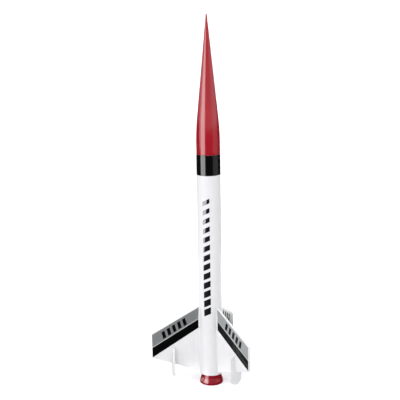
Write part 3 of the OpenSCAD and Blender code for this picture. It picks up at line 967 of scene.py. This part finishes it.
def build_parachute():
    """A 305 mm canopy of eight gores, folded into 16 stacked right-angled triangles, rolled from its apex."""
    length, half_hem, gap, pitch, core = 152.4, 63.1, 0.066, 1.14, 1.0
    layers, rows, cols, first, middle, turn = 16, 190, 6, 2.5, 183.5, 1.9
    wave_depth, ripple_depth = 0.35, 0.012
    verts, faces, mats = [], [], []
    rng = random.Random(11)
    phase = [rng.uniform(0, 6.28) for _ in range(layers)]

    def point(layer, s, h):
        """The place of the point s from the apex and h along the hem, when its layer is rolled."""
        base = math.sqrt(core ** 2 + pitch * s / math.pi)
        theta = 2 * math.pi * (base - core) / pitch
        width = half_hem * s / length
        wave = wave_depth * math.sin(theta * 0.9 + phase[layer]) * (s / length)
        ripple = ripple_depth * math.sin(theta * 5 + h * 0.2 + phase[layer])
        r = base + gap * layer + ripple
        z = middle - width / 2 + h + wave * h / max(width, 1)
        return r * math.cos(theta + turn), r * math.sin(theta + turn), z

    def number(layer, i, j):
        return (layer * (rows + 1) + i) * (cols + 1) + j

    def face(layer, corners):
        quad = [number(*c) for c in corners]
        faces.append(quad if layer % 2 else quad[::-1])
        mats.append((layer // 2) % 2)

    for layer in range(layers):
        for i in range(rows + 1):
            s = first + (length - first) * i / rows
            for j in range(cols + 1):
                verts.append(point(layer, s, half_hem * s / length * j / cols))
    for layer in range(layers):
        for i in range(rows):
            for j in range(cols):
                face(layer, [(layer, i, j), (layer, i + 1, j), (layer, i + 1, j + 1), (layer, i, j + 1)])
    for layer in range(layers - 1):
        j = 0 if layer % 2 == 0 else cols
        for i in range(rows):
            face(layer, [(layer, i, j), (layer, i + 1, j), (layer + 1, i + 1, j), (layer + 1, i, j)])
    shape = Shape().add(verts, faces, mats)
    canopy = shape.make("parachute_canopy_roll", [CHUTE_WHITE, CHUTE_ORANGE], 50, weld=False)
    attach(canopy, "nose", "chute_film", "parachute")


def build_shroud_lines():
    """Eight threads that wind up from the roll to the loop, and three turns that tie them there."""
    lines, steps, low, rise, spread, gather, line_r = 8, 14, 215.3, 9.3, 7.3, 0.62, 0.26
    shape = Shape()
    for k in range(lines):
        path = []
        for i in range(steps + 1):
            s = i / steps
            angle = 360 / lines * k + 11 + 150 * s
            sag = 0.25 * math.sin(k * 2.1) * (1 - s) if i else 0.0
            path.append(polar(angle, spread * (1 - s) ** 2.2 + gather, low + rise * s + sag))
        shape.tube(smooth_path(path, 3), line_r, 8)
    wraps, wrap_r, wrap_line_r, first, steps = 3, 1.15, 0.32, 224.0, 20
    for k in range(wraps):
        ring = []
        for i in range(steps):
            t = 2 * math.pi * i / steps
            z = first + 0.62 * k + 0.18 * math.sin(t + k)
            ring.append((wrap_r * math.cos(t), wrap_r * math.sin(t), z))
        shape.tube(ring, wrap_line_r, 8, closed=True)
    attach(shape.make("shroud_line_bundle", THREAD, 60), "nose", "thread", "shroud_lines")


# ---------------------------------------------------------------- camera, floor and light

def build_stage():
    """A pale floor that runs far past the picture. It doesn't show in gloss."""
    cells, size, drop = 8, 60000.0, 0.03
    steps = [-size + 2 * size * i / cells for i in range(cells + 1)]
    verts = [(x, y, -drop) for y in steps for x in steps]
    w = cells + 1
    faces = [[j * w + i, j * w + i + 1, (j + 1) * w + i + 1, (j + 1) * w + i]
             for j in range(cells) for i in range(cells)]
    p = Paint("pale_floor", 0.9, Specular_IOR_Level=0.0, Emission_Color=(1, 1, 1, 1), Emission_Strength=0.1)
    p.tones(p.noise(3.0, 2), 0.3, 0.7, (0.90, 0.90, 0.90), (0.885, 0.885, 0.885))
    plane = Shape().add(verts, faces).make("studio_floor", p.mat)
    plane.visible_glossy = False


def build_world():
    """White at the horizon, grey overhead, and dark below the floor's far edge, where only gloss sees it."""
    world = bpy.data.worlds.new("studio")
    bpy.context.scene.world = world
    world.use_nodes = True
    nt = world.node_tree
    height = nt.nodes.new("ShaderNodeSeparateXYZ")
    nt.links.new(nt.nodes.new("ShaderNodeTexCoord").outputs["Generated"], height.inputs[0])

    def blend(low, high, below, above):
        """One colour below the height low, the other above the height high, and a mix between."""
        ramp = nt.nodes.new("ShaderNodeMapRange")
        ramp.inputs["From Min"].default_value = low
        ramp.inputs["From Max"].default_value = high
        nt.links.new(height.outputs[2], ramp.inputs["Value"])
        mix = nt.nodes.new("ShaderNodeMix")
        mix.data_type = "RGBA"
        nt.links.new(ramp.outputs[0], mix.inputs[0])
        mix.inputs[6].default_value = below
        if isinstance(above, tuple):
            mix.inputs[7].default_value = above
        else:
            nt.links.new(above, mix.inputs[7])
        return mix.outputs[2]

    sky = blend(0.04, 0.22, (1.03, 1.03, 1.04, 1), (0.34, 0.34, 0.36, 1))
    whole = blend(-0.045, -0.015, (0.03, 0.03, 0.032, 1), sky)
    nt.links.new(whole, nt.nodes["Background"].inputs["Color"])


def light(kind, name, energy, place, target):
    data = bpy.data.lights.new(name, kind)
    data.energy = energy
    obj = bpy.data.objects.new(name, data)
    bpy.context.scene.collection.objects.link(obj)
    obj.location = place
    obj.rotation_euler = (Vector(target) - Vector(place)).to_track_quat("-Z", "Y").to_euler()
    obj.visible_camera = False
    return obj


def sun(name, energy, place, target, spread):
    light("SUN", name, energy, place, target).data.angle = math.radians(spread)


def gloss_panel(name, energy, place, target, size):
    """A lit panel that shows only as a highlight."""
    obj = light("AREA", name, energy, place, target)
    obj.data.shape = "RECTANGLE"
    obj.data.size, obj.data.size_y = size
    obj.visible_diffuse = False


def build_lights():
    sun("key_sun", 1.5, polar(228, 1.0, 1.0), (0, 0, 0.15), 60)
    sun("top_sun", 2.6, (0.05, -0.15, 2.0), (0, 0, 0), 90)
    gloss_panel("left_strip", 6.4, polar(208, 0.65, 0.272), (0, 0, 0.272), (0.56, 0.54))
    gloss_panel("low_strip", 0.0068, (-0.0185, -0.0150, 0.0062), (-0.0122, -0.0119, 0.0132), (0.012, 0.017))
    gloss_panel("left_low_panel", 0.32, polar(158, 0.22, 0.036), (0.02, -0.03, 0.036), (0.24, 0.14))
    gloss_panel("right_low_panel", 0.19, polar(40, 0.23, 0.042), (0.02, 0.03, 0.042), (0.14, 0.08))
    gloss_panel("back_strip", 1.2, polar(78, 0.65, 0.272), (0, 0, 0.272), (0.22, 0.54))
    gloss_panel("right_panel", 0.78, polar(334, 0.75, 0.27), (0, 0, 0.27), (0.8, 0.52))


def build_camera():
    """The camera stands a little to the left of -Y, as high as the rocket's tip, and looks down."""
    around, distance, height = math.radians(7.614), 0.999123, 0.419693
    yaw, pitch, roll = math.radians(-0.537), math.radians(12.268), math.radians(-0.963)
    forward = Vector((math.sin(yaw) * math.cos(pitch), math.cos(yaw) * math.cos(pitch), -math.sin(pitch)))
    right = Vector((math.cos(yaw), -math.sin(yaw), 0))
    up = right.cross(forward)
    cam_x = math.cos(roll) * right + math.sin(roll) * up
    cam_y = -math.sin(roll) * right + math.cos(roll) * up
    turn = Matrix.Rotation(-around, 3, "Z")
    axes = Matrix((turn @ cam_x, turn @ cam_y, turn @ -forward)).transposed().to_4x4()
    data = bpy.data.cameras.new("camera")
    data.sensor_width = 36.0
    data.lens = 87.947
    data.clip_end = 300.0
    camera = bpy.data.objects.new("camera", data)
    bpy.context.scene.collection.objects.link(camera)
    camera.matrix_world = Matrix.Translation(turn @ Vector((0, -distance, height))) @ axes
    bpy.context.scene.camera = camera
    bpy.context.scene.view_settings.view_transform = "Standard"


build_tube()
build_band()
build_graphic()
build_nose()
build_plug()
for fin_key, fin_angle in FINS.items():
    build_fin(fin_key, fin_angle)
    build_winglet(fin_key, fin_angle)
    build_decal(fin_key, fin_angle, 1)
    build_decal(fin_key, fin_angle, -1)
build_nozzle_ring()
build_motor_tube()
build_hook()
dress_rings()
build_lug()
build_cord_mount()
build_shock_cord()
build_parachute()
build_shroud_lines()
build_stage()
build_world()
build_lights()
build_camera()
